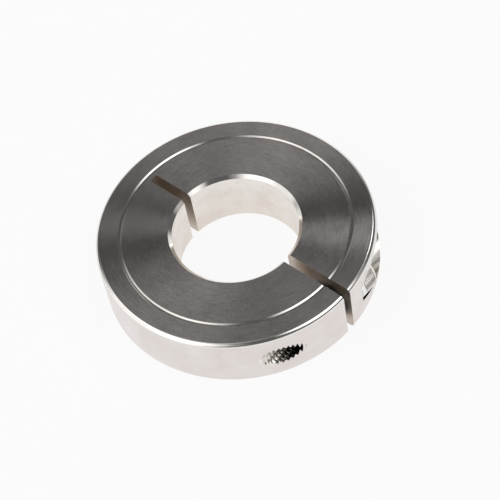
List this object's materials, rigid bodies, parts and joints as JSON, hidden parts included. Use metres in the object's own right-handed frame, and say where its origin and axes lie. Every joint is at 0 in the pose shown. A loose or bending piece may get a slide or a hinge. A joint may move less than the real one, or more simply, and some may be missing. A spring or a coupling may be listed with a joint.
{
  "type": "shaft collar",
  "caption": "One-piece clamping shaft collar: a slit steel ring drawn tight round a shaft by a knurled socket head cap screw across the saw cut.",
  "frame": {"origin": "on the axis of the bore, at the lower face", "axes": "+Z along the bore towards the grooved upper face, +X along the saw cut towards its open side, the clamp screw lies along Y with its head at +Y"},
  "size_m": [0.066, 0.066, 0.0146],
  "materials": {
    "ring_steel": "fine turned stainless steel, satin",
    "screw_steel": "bright stainless steel with a rolled thread and a knurled head"
  },
  "bodies": {
    "collar": {"collar_body": "ring_steel"},
    "screw": {"clamp_screw": "screw_steel"}
  },
  "joints": [
    {"name": "screw_turn", "type": "hinge", "parent": "collar", "child": "screw", "pos_m": [0.0275, 0.0057, 0.0073], "axis": [0, 1, 0], "continuous": true}
  ]
}
